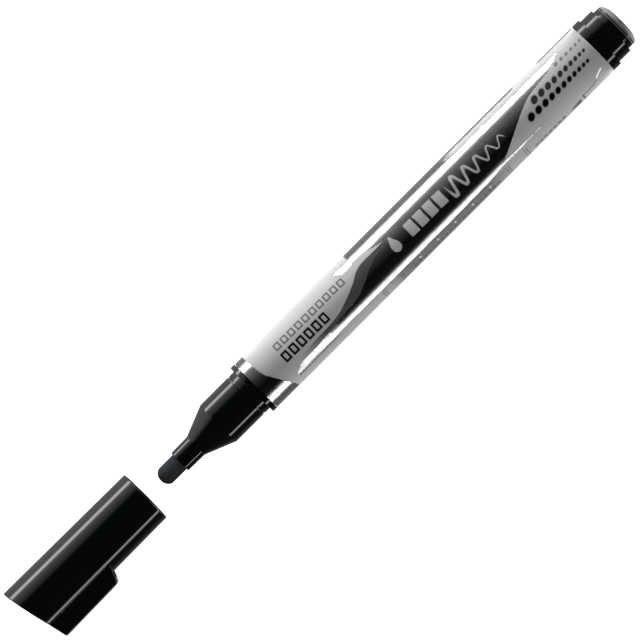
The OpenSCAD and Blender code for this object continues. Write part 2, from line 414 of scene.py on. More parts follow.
# The print on the film: curves through (station, millimetres of arc from the middle of the label's front)
WINDOW_TOP = [
    (10, 3.4), (14, 3.35), (18, 3.1), (21, 2.8), (23.6, 2.5), (28.2, 2.1), (31.3, 1.0), (33.8, -0.25),
    (36.4, -1.3), (39, -2.15), (40.3, -2.6),
]
WINDOW_FOOT = [
    (10, 3.45), (11, 4.3), (12.3, 4.8), (15.4, 4.95), (20.5, 4.95), (62, 4.9), (66, 4.65), (69, 4.2),
]
WINDOW_REAR = [
    (68.7, 3.8), (70.1, 3.25), (73.5, 1.55), (77.4, -0.4), (80.5, -1.8), (82.5, -2.5), (85.6, -3.0),
    (88.2, -3.3), (89.8, -3.9), (92.7, -5.1),
]
TONGUE_TOP = [
    (28.1, -5.6), (29.0, -4.6), (30.0, -3.6), (32.4, -3.6), (32.8, -4.3), (35.9, -4.1), (37.3, -3.3),
    (40.3, -2.6),
]
TONGUE_BACK = 32.5           # station where the window reaches round to its far edge
SLIT_LOW = [(66, 3.7), (81, 4.08)]
SLIT_HIGH = [(66, 4.5), (81, 4.12)]
SLIT_START = 68
SWOOSH_TOP = [
    (10, 2.5), (15.9, 2.1), (22.3, 1.8), (26.1, 0.8), (29.9, -0.75), (32.5, -2.15), (34, -2.5),
    (37.5, -2.5), (40.3, -2.6),
]
# the front edge of the print, as (arc, station)
FILM_FRONT = [
    (-20, 3.36), (-4.5, 3.4), (-1.2, 3.75), (0.8, 4.6), (3.2, 5.9), (5.2, 6.8), (8.2, 7.6), (20, 8.6),
]
WINDOW_BACK_LIMIT = -11.5    # arc of the window's far edge
FAR_BAND = (-7.45, -5.62)    # silver band that crosses the window's far side
FAR_BAND_START = 61.5
FAR_BAND_CLOSE = 81.3        # station where the band closes the window beyond it
FAR_LINE_START = 88.5        # station where the far side is clear again, up to the plug
# painted highlight: a light patch below the window's foot that carries on the strip light's reflection
HIGHLIGHT_PATCH_TOP = [(9.0, 4.9), (9.6, 4.35), (12.3, 3.67), (15.0, 3.45)]
HIGHLIGHT_PATCH_END = 20.8
HIGHLIGHT_PATCH_FOOT = 5.25
REAR_LINE = [(90.4, 6.4), (93.3, 6.4), (94.3, 5.95), (95.3, 5.05), (96.9, 4.25)]
# painted highlight: from this station the printed line beside the plug is painted light where a highlight
# falls on it
REAR_LINE_HIGHLIGHT_FROM = 94.8       # station where the line beside the plug turns from dark to light
BACK_FROM = 12.6             # arc where the label's back begins, on both sides

# Printing inks: greys with a trace of blue. The shade ink paints shade, and the white ink also paints
# highlights.
LIGHT_INK_AND_HIGHLIGHT = (0.4, 0.4, 0.405, 1)
# painted shade: a darker silver standing in for shade along the label's clip-side edge
PAINTED_SHADE_INK = (0.075, 0.075, 0.077, 1)
FAINT_INK = (0.06, 0.06, 0.061, 1)
WORD_INK = (0.045, 0.045, 0.046, 1)
MARK_INK = (0.035, 0.035, 0.036, 1)
SWOOSH_INK = (0.026, 0.026, 0.027, 1)
DOT_INK = (0.012, 0.012, 0.0125, 1)
BLACK_INK = (0.001, 0.001, 0.001, 1)


def window_mask(nodes, s, a):
    """1 where the film is clear: parts that overlap a little, less the band and the closed far end."""
    lap = 0.1
    start, joint = WINDOW_TOP[0][0], WINDOW_TOP[-1][0]
    rear_start, rear_end = WINDOW_REAR[0][0], WINDOW_REAR[-1][0]
    low = nodes.curve(s, WINDOW_TOP)
    foot = nodes.curve(s, WINDOW_FOOT)
    rear = nodes.curve(s, WINDOW_REAR)
    tongue = nodes.curve(s, TONGUE_TOP, True)
    far = nodes.above(a, WINDOW_BACK_LIMIT)
    tongue_far = nodes.above(a, nodes.spread(nodes.above(s, TONGUE_BACK), FAR_BAND[1], WINDOW_BACK_LIMIT))
    front_part = nodes.both(nodes.between(s, start, joint + lap), nodes.above(a, low), nodes.above(foot, a))
    wedge = nodes.both(
        nodes.between(s, TONGUE_TOP[0][0], joint + lap), tongue_far, nodes.above(tongue, a),
    )
    middle = nodes.both(nodes.between(s, joint - lap, rear_start + lap), far, nodes.above(foot, a))
    rear_part = nodes.both(nodes.between(s, rear_start - lap, rear_end - lap), far, nodes.above(rear, a))
    slit = nodes.both(
        nodes.between(s, SLIT_START, SLIT_LOW[-1][0]),
        nodes.between(a, nodes.curve(s, SLIT_LOW), nodes.curve(s, SLIT_HIGH)),
    )
    band = nodes.both(nodes.above(s, FAR_BAND_START, 4.0), nodes.between(a, *FAR_BAND, 0.1))
    closed = nodes.both(nodes.above(s, FAR_BAND_CLOSE, 0.1), nodes.above(FAR_BAND[1], a, 0.1))
    far_line = nodes.both(nodes.above(s, FAR_LINE_START), far, nodes.above(FAR_BAND[0] - 0.2, a))
    window = nodes.without(nodes.most(front_part, wedge, middle, rear_part, slit), band, closed)
    return nodes.most(window, far_line)


def blocks(nodes, s, a, start, count, pitch, fill, low, high, line=None):
    """Row of plain blocks that stands in for a word, from arc low to arc high. Each fills this share of the
    pitch. With a line width the blocks are hollow."""
    along = nodes.math("DIVIDE", nodes.math("SUBTRACT", s, start), pitch)
    part = nodes.math("FRACT", along)
    row = nodes.between(along, 0.0, float(count), 0.02)
    block = nodes.both(nodes.between(part, 0.02, fill, 0.03), nodes.between(a, low, high, 0.08))
    if line:
        share = line / pitch
        hollow = nodes.between(part, 0.02 + share, fill - share, 0.03)
        block = nodes.without(block, nodes.both(hollow, nodes.between(a, low + line, high - line, 0.08)))
    return nodes.both(row, block)


def halftone(nodes, s, a, start, end, count, first, last, height):
    """Row of dots at this arc height, whose size and pitch shrink towards the rear."""
    shrink = last / first
    total = sum(1 + (shrink - 1) * i / count for i in range(count - 1))
    result = 0.0
    at = start
    for i in range(count):
        size = first + (last - first) * i / (count - 1)
        lean = nodes.math("MULTIPLY_ADD", a, 0.3, s)
        spot = nodes.disc(lean, a, (at + 0.3 * height, height), size / 2, 0.12 + 0.12 * size)
        result = nodes.math("MAXIMUM", spot, result)
        at += (end - start) / total * (1 + (shrink - 1) * i / count)
    return result


def pen_stroke(nodes, s, a):
    """Wavy pen stroke whose height and width taper towards the rear."""
    start, end, wave = 57.0, 73.0, 3.2
    rate = 2 * math.pi / wave
    along = nodes.math("MULTIPLY_ADD", s, 1 / (end - start), -start / (end - start), clamp=True)
    height = nodes.spread(along, 1.9, 0.8)
    phase = nodes.math("MULTIPLY_ADD", s, rate, -start * rate)
    line = nodes.math("MULTIPLY_ADD", nodes.math("SINE", phase), height, -0.3)
    steepness = nodes.math("MULTIPLY", height, rate)
    slope = nodes.math("MULTIPLY", nodes.math("COSINE", phase), steepness)
    lengthen = nodes.math("SQRT", nodes.math("MULTIPLY_ADD", slope, slope, 1.0))
    off = nodes.math("ABSOLUTE", nodes.math("SUBTRACT", a, line))
    distance = nodes.math("DIVIDE", off, lengthen)
    stroke = nodes.above(nodes.spread(along, 0.36, 0.14), distance, 0.1)
    return nodes.both(stroke, nodes.between(s, start, end, 0.3))


def ink_drop(nodes, s, a):
    """Drop with its round end towards the label's foot."""
    centre = (41.6, 0.35)
    size = 1.05
    tip = -2.6
    taper = nodes.math("MULTIPLY_ADD", a, 0.42, 1.17)
    across = nodes.math("ABSOLUTE", nodes.math("SUBTRACT", s, centre[0]))
    point = nodes.both(nodes.above(taper, across, 0.08), nodes.between(a, tip, 0.0, 0.08))
    return nodes.most(nodes.disc(s, a, centre, size, 0.08), point)


def rear_line(nodes, s, a, half):
    """1 along the thin curved line beside the plug."""
    off = nodes.math("ABSOLUTE", nodes.math("SUBTRACT", a, nodes.curve(s, REAR_LINE)))
    return nodes.both(nodes.between(s, REAR_LINE[0][0], REAR_LINE[-1][0]), nodes.above(half, off, 0.08))


def back_lines(nodes, s, a):
    """Broken lines on the label's unseen back."""
    length, pitch = 0.9, 1.15
    row_at = nodes.math("DIVIDE", a, pitch)
    cell = nodes.math("FLOOR", nodes.math("DIVIDE", s, length))
    row = nodes.math("FLOOR", row_at)
    chance = nodes.add("TexWhiteNoise", {"Vector": nodes.add("CombineXYZ", {0: cell, 1: row}).outputs[0]})
    lines = nodes.above(chance.outputs[0], 0.22, 0.02)
    lines = nodes.both(lines, nodes.above(0.45, nodes.math("FRACT", row_at), 0.06))
    back = nodes.above(nodes.math("ABSOLUTE", a), BACK_FROM)
    return nodes.both(lines, nodes.between(s, 9.0, 58.0), back)


def small_print(nodes, s, a):
    """Dark marks of the lower band and of the back: ticks, dashes, a wedge and the line beside the plug."""
    ticks = [
        nodes.both(nodes.between(s, at - 0.09, at + 0.09, 0.08), nodes.between(a, 5.3, 9.5))
        for at in (33.1, 33.7, 38.1, 38.7, 68.8, 69.4, 73.9, 74.5)
    ]
    wedge_start, wedge_end, wedge_at = 86.4, 89.6, 7.6
    half = nodes.math("MULTIPLY_ADD", nodes.math("SUBTRACT", s, wedge_start), 0.26, 0.1)
    from_middle = nodes.math("ABSOLUTE", nodes.math("SUBTRACT", a, wedge_at))
    return nodes.most(
        *ticks,
        blocks(nodes, s, a, start=41.5, count=20, pitch=1.25, fill=0.72, low=6.9, high=7.6),
        blocks(nodes, s, a, start=9.1, count=14, pitch=0.84, fill=0.7, low=5.1, high=5.7),
        blocks(nodes, s, a, start=76.3, count=7, pitch=1.3, fill=0.7, low=7.1, high=7.9),
        nodes.both(nodes.between(s, wedge_start, wedge_end), nodes.above(half, from_middle)),
        nodes.both(nodes.between(s, 90.3, 95.2), rear_line(nodes, s, a, 0.14)),
        nodes.both(nodes.between(s, 90.3, 90.65), nodes.between(a, 6.3, 9.0)),
        back_lines(nodes, s, a),
    )


def highlight_patch_and_light_dots(nodes, s, a):
    """Painted highlight patch just below the window's foot, where the strip light's reflection carries on,
    and light dots beside the foot.
    """
    # painted highlight: this patch stands in for the strip light's reflection; the dots are light print
    highlight_patch = nodes.both(
        nodes.between(s, HIGHLIGHT_PATCH_TOP[0][0], HIGHLIGHT_PATCH_END, 0.3),
        nodes.between(a, nodes.curve(s, HIGHLIGHT_PATCH_TOP), HIGHLIGHT_PATCH_FOOT, 0.2),
    )
    dots = [nodes.disc(s, a, (43.6 + 5.05 * i, 6.15), 0.22, 0.15) for i in range(5)]
    return nodes.most(highlight_patch, *dots)


def print_layers(nodes, s, a):
    """Masks and inks of the prints on the silver, with a band of painted shade and a painted highlight on
    the line beside the plug among them, in the order in which they are laid on.
    """
    # painted shade: a darker band along the clip-side edge, fading in and out along the label
    painted_shade_band = nodes.both(
        nodes.between(s, 37.0, 67.0, 6.0), nodes.above(a, 4.9), nodes.above(9.4, a, 0.8),
    )
    light_word = blocks(
        nodes, s, a, start=9.15, count=10, pitch=2.03, fill=0.76, low=-3.57, high=-1.88, line=0.34,
    )
    dark_word = blocks(
        nodes, s, a, start=9.0, count=6, pitch=2.18, fill=0.78, low=-1.0, high=1.24, line=0.46,
    )
    dots = halftone(nodes, s, a, start=79.75, end=95.95, count=11, first=1.75, last=0.8, height=1.0)
    grey_dots = halftone(nodes, s, a, start=82.65, end=96.85, count=10, first=1.7, last=0.75, height=-1.12)
    faint_dots = halftone(nodes, s, a, start=90.9, end=97.7, count=6, first=0.9, last=0.6, height=-3.3)
    # painted highlight on the rear end of the line beside the plug
    painted_line_highlight = nodes.both(nodes.above(s, REAR_LINE_HIGHLIGHT_FROM, 0.4), rear_line(nodes, s, a, 0.22))
    swoosh = nodes.both(
        nodes.between(s, SWOOSH_TOP[0][0], SWOOSH_TOP[-1][0]),
        nodes.between(a, nodes.curve(s, SWOOSH_TOP), nodes.curve(s, WINDOW_TOP)),
        nodes.above(s, 15.0, 8.0),
    )
    return [
        (painted_shade_band, PAINTED_SHADE_INK), (highlight_patch_and_light_dots(nodes, s, a), LIGHT_INK_AND_HIGHLIGHT), (light_word, WORD_INK),
        (faint_dots, FAINT_INK), (grey_dots, DOT_INK), (small_print(nodes, s, a), MARK_INK),
        (painted_line_highlight, LIGHT_INK_AND_HIGHLIGHT), (nodes.most(dark_word, dots), BLACK_INK), (swoosh, SWOOSH_INK),
    ]


def printed_film():
    """Clear film, printed silver with darker and lighter marks, among them painted shade and painted
    highlights, but not in the window and at the front.
    """
    material, nodes, shader = new_material("printed_film")
    around = nodes.add("SeparateXYZ", {0: nodes.add("UVMap", uv_map="around").outputs[0]})
    s, a = around.outputs[0], around.outputs[1]
    position = object_mm(nodes)
    flake = nodes.noise(position, 9.0, 2.0)
    cloud = nodes.noise(position, 0.12, 2.0)
    silver = nodes.grey(nodes.math("MULTIPLY_ADD", flake, 0.02, nodes.spread(cloud, 0.135, 0.147)))
    window = window_mask(nodes, s, a)
    word = blocks(nodes, s, a, start=45.3, count=4, pitch=2.75, fill=0.8, low=-2.0, high=1.2)
    window_print = nodes.both(nodes.most(pen_stroke(nodes, s, a), ink_drop(nodes, s, a), word), window)
    color = silver
    for mask, ink in print_layers(nodes, s, a):
        color = nodes.mix(mask, color, ink)
    clear_front = nodes.above(nodes.curve(a, FILM_FRONT), s)
    clear = nodes.without(nodes.most(window, clear_front), window_print)
    nodes.feed(shader, {
        "Base Color": nodes.mix(window_print, color, silver),
        "Metallic": 0.65,
        "Specular IOR Level": 0.0,
        "Roughness": nodes.spread(flake, 0.87, 0.93),
        "Alpha": nodes.math("SUBTRACT", 1.0, clear),
    })
    nodes.emboss(shader, flake, 0.0008)
    return material


# -------------------- pieces on the marker's body
def make_barrel(material):
    """Clear tube. Its ends run a little into the nose's flange and the plug's ring."""
    start = front_end("barrel_tube") - CONTACT
    end = PLUG_SEAT + CONTACT
    skin_r = BARREL_R - FILM_T
    outline = [(start, BORE_R), (start, skin_r), (end, skin_r), (end, BORE_R)]
    mesh = turned("barrel_tube_body", outline)
    piece("clear_barrel", mesh, material, "marker", ["barrel_tube"])


def make_film(material):
    """Film around the clear barrel, up to the plug."""
    start = front_end("label_film")
    end = PLUG_SEAT
    inner_r = BARREL_R - FILM_T + CONTACT / 2
    outline = [(start, inner_r), (start, BARREL_R), (end, BARREL_R), (end, inner_r)]
    mesh = turned("label_film_body", outline)
    piece("printed_label", mesh, material, "marker", ["label_film"])


def make_ink(material):
    """Ink that fills the tank around the wick."""
    wick_r = radius("feed_wick")
    start = front_end("ink_charge")
    end = back_end("ink_charge")
    wick_end = back_end("feed_wick")
    wide = BORE_R + CONTACT
    mesh = turned("ink_body", [
        (start, wick_r), (start, wide, 0.1), (end, wide, 0.1), (end, 0), (wick_end, 0), (wick_end, wick_r),
    ])
    piece("ink_fill", mesh, material, "marker", ["ink_charge"])


def make_nose(material):
    """Nose with its click groove and its flange."""
    tip = front_end("nose_section")
    cone_back = -NOSE_LEN
    cone_front = cone_back - CONE_LEN
    groove_front = GROOVE_AT - GROOVE_W / 2
    groove_back = GROOVE_AT + GROOVE_W / 2
    groove_r = NOSE_R - GROOVE_DEPTH
    flange_front = -0.04
    flange_back = FLANGE_LEN - 2 * CONTACT
    inner_r = NOSE_R - NOSE_WALL
    nib_hole_r = radius("nib") + 0.02
    mesh = turned("nose_body", [
        (tip, nib_hole_r, 0.1), (tip, TUBE_TIP_R, 0.15), (cone_front, TUBE_BACK_R, 0.5),
        (cone_back, NOSE_R, 0.9), (groove_front, NOSE_R, 0.08), (groove_front, groove_r, 0.05),
        (groove_back, groove_r, 0.05), (groove_back, NOSE_R, 0.08), (flange_front, NOSE_R, 0.1),
        (flange_front, BARREL_R, 0.05), (flange_back, BARREL_R), (flange_back, BORE_R - NOSE_WALL),
        (0, inner_r, 0.3), (cone_back + 1, inner_r, 0.5), (tip + 6.5, nib_hole_r, 0.3),
    ])
    piece("nose_cone", mesh, material, "marker", ["nose_section"])


def make_spigot(wetted):
    """The nose's spigot, pressed into the clear barrel, with the flange's face against the barrel's end."""
    face = FLANGE_LEN - 3 * CONTACT
    face_r = BARREL_R - CONTACT / 4
    end = back_end("nose_section") + SPIGOT_REACH
    inner_r = BORE_R - NOSE_WALL
    wide = BORE_R + CONTACT
    mesh = turned("spigot_body", [
        (face, inner_r), (face, face_r), (FLANGE_LEN, face_r), (FLANGE_LEN, wide), (end, wide, 0.15),
        (end, inner_r, 0.1),
    ])
    piece("nose_spigot", mesh, wetted, "marker")


def make_nib(material):
    """Bullet nib with the hole for the wick."""
    tip = front_end("nib")
    end = back_end("nib")
    r = radius("nib")
    wick_r = radius("feed_wick")
    hole_end = end - 4
    dome_len = 1.75
    steps = 10
    dome = [
        (tip + dome_len * (1 - math.cos(a)), r * math.sin(a))
        for a in (math.pi / 2 * i / steps for i in range(steps + 1))
    ]
    mesh = turned("nib_body", dome + [(end, r, 0.2), (end, wick_r), (hole_end, wick_r), (hole_end, 0)])
    piece("bullet_nib", mesh, material, "marker", ["nib"])


def make_plug(material):
    """Stepped plug: hollow front, ring, waist, neck, and the socket for the button's pin."""
    front = front_end("rear_plug")
    ring_end = PLUG_SEAT + PLUG_RING_LEN
    waist_end = ring_end + PLUG_WAIST_LEN
    neck_end = back_end("rear_plug") - PIN_PLAY
    ring_r = BARREL_R - 0.03
    wide = BORE_R + CONTACT
    hollow_r = BORE_R - 1.3
    socket = back_end("rear_plug") - 3
    socket_r = PIN_R + PIN_PLAY
    floor = socket - 1.2
    mesh = turned("plug_body", [
        (floor, 0), (floor, hollow_r, 0.8), (front, hollow_r, 0.15), (front, wide, 0.2),
        (PLUG_SEAT, wide), (PLUG_SEAT, ring_r), (ring_end, ring_r), (ring_end, PLUG_WAIST_R),
        (waist_end, PLUG_WAIST_R), (waist_end, BUTTON_R), (neck_end, BUTTON_R, 0.1),
        (neck_end, socket_r), (socket, socket_r), (socket, 0),
    ])
    piece("stepped_plug", mesh, material, "marker", ["rear_plug"])


def make_button(material):
    """Domed button with its pin. A hair of play parts it from the plug, as the parting line shows."""
    front = front_end("end_button") + PIN_PLAY
    end = back_end("end_button")
    seat = back_end("rear_plug") + PIN_PLAY
    pin_r = PIN_R - PIN_PLAY
    rim = back_end("rear_plug") + 0.75
    mesh = turned("button_body", [
        (front, 0), (front, pin_r, 0.1), (seat, pin_r), (seat, BUTTON_R, 0.1),
        (rim, BUTTON_R, 0.6), (end - 0.1, BUTTON_R - 1.6, 2.5), (end, 0),
    ])
    piece("domed_button", mesh, material, "marker", ["end_button"])


# -------------------- the cap
cap_mouth = back_end("cap_shell")
cap_far = front_end("cap_shell")
end_on_axis = cap_far + CAP_END_R * END_SLANT


def cap_skin(station):
    """Outer radius of the cap at a station."""
    return CAP_MOUTH_R + (CAP_END_R - CAP_MOUTH_R) * (cap_mouth - station) / (cap_mouth - cap_far)


def slanted(inset, inwards):
    """Ring beside the slanted end, this far inside the skin and this far in from the end."""
    def ring(clipward):
        station = end_on_axis + inwards
        for _ in range(3):
            r = cap_skin(station) - inset
            station = end_on_axis + inwards + END_SLANT * r * clipward
        return station, r
    return ring


def slanted_at(r, inwards):
    """Ring of one radius, this far in from the slanted end."""
    return lambda clipward: (end_on_axis + inwards + END_SLANT * r * clipward, r)


def plain(points):
    """Rings from points of (station, radius)."""
    return [lambda _, p=p: (p[0], p[1]) for p in points]


def make_cap(material):
    """Cap with a rounded rim at its mouth, a click bead in its bore and a socket for the liner."""
    edge = 0.22
    steps = 5
    mouth_back = cap_mouth - 1
    bead_at = cap_mouth + CAP_STOP + GROOVE_AT
    liner_r = radius("cap_seal_liner")
    socket_r = liner_r + 0.8
    socket_lip = front_end("cap_seal_liner") + 6
    mouth = [
        (mouth_back, CAP_BORE_R), (cap_mouth, CAP_BORE_R + 0.1, 0.3), (cap_mouth, CAP_MOUTH_R, 0.05),
        (mouth_back, cap_skin(mouth_back)),
    ]
    rings = plain(rounded(mouth))
    skin_end = end_on_axis + 2
    skin = [mouth_back + (skin_end - mouth_back) * share for share in (0.25, 0.5, 0.75, 1.0)]
    rings += plain([(station, cap_skin(station)) for station in skin])
    rings.append(slanted(0, edge + 0.1))
    for i in range(steps + 1):
        turn = math.pi / 2 * i / steps
        rings.append(slanted(edge * (1 - math.cos(turn)), edge * (1 - math.sin(turn))))
    rings += [slanted(edge + 0.1, 0), slanted_at(0, 0)]
    rings += [slanted_at(0, CAP_END_WALL / 2), slanted_at(liner_r, CAP_END_WALL / 2)]
    rings += plain([(socket_lip, liner_r), (socket_lip, socket_r)])
    rings += [slanted_at(socket_r, CAP_END_WALL), slanted_at(CAP_BORE_R, CAP_END_WALL)]
    rings += plain([
        (bead_at - 0.35, CAP_BORE_R), (bead_at - 0.18, CAP_BEAD_R), (bead_at + 0.18, CAP_BEAD_R),
        (bead_at + 0.35, CAP_BORE_R),
    ])
    mesh = revolve("cap_body", rings)
    piece("cap_body", mesh, material, "cap", ["cap_shell"])


def make_liner(material):
    """Cup that closes around the nib tube, with a lip at its mouth and a floor in its middle."""
    lip = back_end("cap_seal_liner")
    back = front_end("cap_seal_liner")
    r = radius("cap_seal_liner")
    bore_r = 2.71
    lip_r = 2.63
    floor = back + 3.3
    mesh = turned("liner_body", [
        (lip, lip_r, 0.12), (lip, r, 0.3), (back, r, 0.1), (back, bore_r, 0.1), (floor - 0.9, bore_r, 0.2),
        (floor - 0.9, 0), (floor, 0), (floor, bore_r, 0.4), (lip - 1.6, bore_r), (lip - 0.8, lip_r, 0.3),
    ])
    piece("seal_liner", mesh, material, "cap", ["cap_seal_liner"])


# -------------------- the clip
clip_tip = cap_mouth - CLIP_BACK
clip_slope = (CLIP_ROOT_H - CLIP_TIP_H) / (clip_tip - cap_far)
root_front = cap_far + (CLIP_ROOT_H + CAP_END_R) * END_SLANT + ROOT_LEN
FINE_EDGE = 0.12             # rounding of the arm's lower and inner edges
FRONT_EDGE = 0.6             # rounding of the edges around its tip


def clip_height(station):
    """Height of the clip's outer face above the axis."""
    return CLIP_TIP_H + clip_slope * (clip_tip - station)


def skirt_height(station, half_width):
    """Height of the lower edge of the clip's skirts, just above the cap's skin."""
    return math.sqrt((cap_skin(station) + CLIP_GAP) ** 2 - half_width ** 2)


def clip_section(build, station_at):
    """Vertices of one U-shaped section, whose station may depend on the height."""
    inner = CLIP_HALF - CLIP_T
    near = station_at(CLIP_FOOT_H)
    row = []
    for side in (1, -1):
        for half, height in (
            (CLIP_HALF, skirt_height(near, CLIP_HALF)), (CLIP_HALF, clip_height(near)),
            (inner, clip_height(near) - CLIP_T), (inner, skirt_height(near, inner)),
        ):
            row.append(build.verts.new(place(station_at(height), side * half, height)))
    outer = [row[0], row[1], row[5], row[4]]
    hollow = [row[3], row[2], row[6], row[7]]
    return outer, hollow


def build_arm(build):
    """U-shaped arm, of enough sections to bend smoothly. Returns the sections and the face at its tip."""
    steps = 22
    run = clip_tip - 2.6 - root_front
    at_tip = lambda height: clip_tip - CLIP_LEAN * (height - CLIP_FOOT_H)
    stations = [root_front + run * i / steps for i in range(steps + 1)]
    sections = [clip_section(build, lambda _, x=x: x) for x in stations]
    sections.append(clip_section(build, at_tip))
    for (outer, hollow), (outer_next, hollow_next) in zip(sections, sections[1:]):
        for k in range(3):
            build.faces.new([outer[k], outer[k + 1], outer_next[k + 1], outer_next[k]])
            build.faces.new([hollow[k], hollow[k + 1], hollow_next[k + 1], hollow_next[k]])
        for k in (0, 3):
            build.faces.new([outer[k], hollow[k], hollow_next[k], outer_next[k]])
    outer, hollow = sections[-1]
    return sections, build.faces.new(outer + hollow[::-1])


def foot_row(build, station_at):
    """Row of vertices sunk into the cap's wall, from one side of the root block to the other."""
    sunk = 0.4
    steps = 8
    row = []
    for i in range(steps + 1):
        face = CLIP_HALF * (1 - 2 * i / steps)
        height = math.sqrt((cap_skin(root_front) - sunk) ** 2 - face ** 2)
        row.append(build.verts.new(place(station_at(height), face, height)))
    return row


def build_root(build, outer, hollow):
    """Solid root block that closes the arm's first section. Returns its top corners and its foot."""
    at_end = lambda height: end_on_axis + END_SLANT * height
    foot = foot_row(build, lambda _: root_front)
    end_foot = foot_row(build, at_end)
    height = clip_height(at_end(CLIP_ROOT_H))
    top = [build.verts.new(place(at_end(height), side * CLIP_HALF, height)) for side in (1, -1)]
    build.faces.new([outer[0], outer[1], top[0], end_foot[0], foot[0]])
    build.faces.new([outer[3], outer[2], top[1], end_foot[-1], foot[-1]])
    build.faces.new([outer[1], outer[2], top[1], top[0]])
    build.faces.new([top[0], top[1]] + end_foot[::-1])
    for k in range(len(foot) - 1):
        build.faces.new([foot[k], foot[k + 1], end_foot[k + 1], end_foot[k]])
    build.faces.new(foot + [outer[3], hollow[3], hollow[2], hollow[1], hollow[0], outer[0]])
    return top, foot + end_foot


def weigh_edges(build, sections, tip_face, top, foot):
    """Sets how far each edge is rounded: most around the tip, less along the top, a little elsewhere."""
    weight = build.edges.layers.float.new("bevel_weight_edge")
    top_corners = {v for outer, _ in sections for v in (outer[1], outer[2])} | set(top)
    tip_hollow = set(sections[-1][1])
    for edge in build.edges:
        ends = set(edge.verts)
        lengthwise = abs(edge.verts[0].co.y - edge.verts[1].co.y) < MM / 2
        if edge.calc_face_angle(0) < math.radians(20):
            continue
        if ends <= top_corners and lengthwise:
            edge[weight] = CLIP_EDGE / FRONT_EDGE
        elif tip_face in edge.link_faces and not ends & tip_hollow:
            edge[weight] = 1.0
        elif not ends & set(foot):
            edge[weight] = FINE_EDGE / FRONT_EDGE


def rounded_mesh(mesh):
    """Copy of a mesh with its weighted edges rounded."""
    obj = add_object("clip_blank", mesh)
    bevel = obj.modifiers.new("edges", "BEVEL")
    bevel.limit_method = "WEIGHT"
    bevel.width = FRONT_EDGE * MM
    bevel.segments = 4
    bevel.use_clamp_overlap = True
    graph = bpy.context.evaluated_depsgraph_get()
    result = bpy.data.meshes.new_from_object(obj.evaluated_get(graph))
    bpy.data.objects.remove(obj)
    result.shade_smooth()
    result.set_sharp_from_angle(angle=math.radians(40))
    return result


def make_clip(material):
    """Clip with a solid root on the cap and a U-shaped arm, in one closed mesh."""
    build = bmesh.new()
    sections, tip_face = build_arm(build)
    top, foot = build_root(build, *sections[0])
    bmesh.ops.recalc_face_normals(build, faces=build.faces)
    weigh_edges(build, sections, tip_face, top, foot)
    mesh = rounded_mesh(finish_mesh("clip_body", build, 50))
    clip = piece("clip_arm", mesh, material, None, ["pocket_clip"])
    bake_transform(clip)


def make_grip_rib(material):
    """Half-round rib under the clip's tip that holds the cloth."""
    rib_r = 0.9
    station = clip_tip - 3.2
    inner = CLIP_HALF - CLIP_T - 0.02
    top = clip_height(station) - CLIP_T + 0.02
    steps = 12
    build = bmesh.new()
    ends = []
    for side in (inner, -inner):
        row = []
        for i in range(steps + 1):
            turn = math.pi * i / steps
            point = place(station + rib_r * math.cos(turn), side, top - rib_r * math.sin(turn))
            row.append(build.verts.new(point))
        ends.append(row)
        build.faces.new(row)
    for k in range(steps):
        build.faces.new([ends[0][k], ends[0][k + 1], ends[1][k + 1], ends[1][k]])
    build.faces.new([ends[0][0], ends[0][-1], ends[1][-1], ends[1][0]])
    mesh = finish_mesh("grip_rib_body", build)
    piece("clip_grip_rib", mesh, material, "clip")


# -------------------- stage
AIM = place(19.93, 0, -0.225)     # what the camera looks at
VIEW_W = 131.2               # width of the view at the object
CAMERA_BACK = 1.4            # metres
SENSOR = 36.0                # width of the camera's film in millimetres
TENT_R = 0.2                 # metres


def make_camera():
    """Camera square to the label's front, far away, with the marker running up to the right."""
    data = bpy.data.cameras.new("camera")
    data.sensor_width = SENSOR
    data.lens = SENSOR * CAMERA_BACK / (VIEW_W * MM)
    data.clip_end = 50
    camera = add_object("camera", data)
    right = (ALONG + CLIPWARD).normalized()
    up = (ALONG - CLIPWARD).normalized()
    turn = Matrix((right, up, FACE)).transposed().to_4x4()
    camera.matrix_world = Matrix.Translation(AIM + FACE * CAMERA_BACK) @ turn
    bpy.context.scene.camera = camera


def make_floor():
    """White floor, which the gloss doesn't see."""
    material, nodes, shader = new_material("floor")
    position = object_mm(nodes)
    speck = nodes.noise(position, 0.01, 2.0)
    nodes.feed(shader, {
        "Base Color": nodes.mix(speck, (0.24, 0.24, 0.24, 1), (0.26, 0.26, 0.26, 1)),
        "Emission Color": (1, 1, 1, 1),
        "Emission Strength": 0.85,
        "Roughness": 0.9,
        "Specular IOR Level": 0.0,
    })
    bpy.ops.mesh.primitive_plane_add(size=12, location=(0, 0, 0))
    floor = bpy.context.object
    floor.name = "floor"
    floor.data.materials.append(material)
    floor.visible_glossy = False


# The surroundings as the gloss sees them, by the angle in degrees from the label's front, positive away from
# the clip. A glow is a few points of (angle, brightness), and a softbox adds its light to it.
FLOOR_GLOW = [
    (-180, 0.3), (-110, 0.05), (38, 0.03), (50, 0.5), (75, 1.2), (110, 1.0), (145, 0.4), (180, 0.3),
]
BARREL_GLOW = [
    (-180, 0.3), (-120, 0.7), (-100, 1.5), (-60, 0.8), (-50, 0.1), (-15, 0.05), (10, 0.35), (25, 0.8),
    (40, 1.7), (50, 2.3), (65, 1.5), (115, 1.5), (180, 0.4),
]
REAR_GLOW = [(-180, 0.4), (-110, 3.5), (-80, 3.4), (-65, 1.3), (-20, 2.2), (20, 2.3), (90, 6.5), (180, 0.4)]
# softboxes as (middle, distance at which the light is half, brightness, hardness of the edge)
LOW_STRIPS = [(-81, 3.5, 5.6, 2), (90, 6, 7.7, 2)]
WIDE_BOXES = [(-82, 15, 17, 4.5), (84.5, 14, 26, 10), (84.5, 21, 8, 4)]


